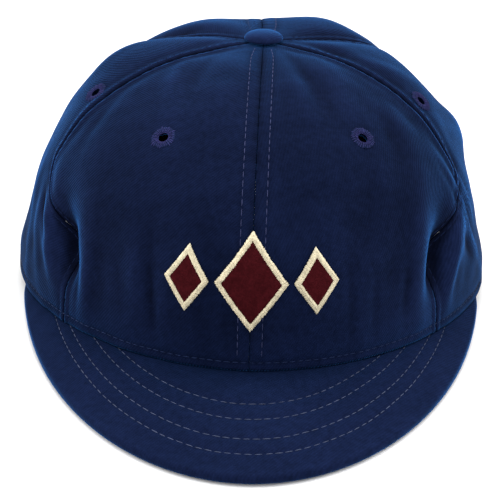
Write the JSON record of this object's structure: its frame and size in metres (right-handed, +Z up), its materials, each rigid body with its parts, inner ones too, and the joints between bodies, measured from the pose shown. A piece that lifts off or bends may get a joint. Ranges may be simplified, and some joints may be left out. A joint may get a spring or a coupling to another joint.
{
  "type": "baseball cap",
  "caption": "Soft cloth baseball cap with panelled crown, covered button, stitched eyelets, short stitched visor and plain felt diamonds on the front",
  "frame": {"origin": "middle of the underside of the cap's box, on the surface that the cap rests on", "axes": "+Z up, the visor points to -Y and the back of the cap to +Y, +X is the viewer's right when the visor faces the viewer"},
  "size_m": [0.1914, 0.245, 0.1006],
  "materials": {
    "navy_cloth": "matte",
    "visor_cloth": "matte",
    "button_cloth": "matte",
    "navy_thread": "satin",
    "maroon_felt": "matte",
    "cream_thread": "satin"
  },
  "bodies": {
    "root": {"front_panel_left": "navy_cloth", "front_panel_right": "navy_cloth", "side_panel_left": "navy_cloth", "side_panel_right": "navy_cloth", "back_panel_left": "navy_cloth", "back_panel_right": "navy_cloth", "front_eyelet_left": "navy_thread", "front_eyelet_right": "navy_thread", "side_eyelet_left": "navy_thread", "side_eyelet_right": "navy_thread", "back_eyelet_left": "navy_thread", "back_eyelet_right": "navy_thread", "visor": "visor_cloth", "button": "button_cloth", "felt_left": "maroon_felt", "felt_middle": "maroon_felt", "felt_right": "maroon_felt", "felt_edge_left": "cream_thread", "felt_edge_middle": "cream_thread", "felt_edge_right": "cream_thread"}
  },
  "joints": []
}
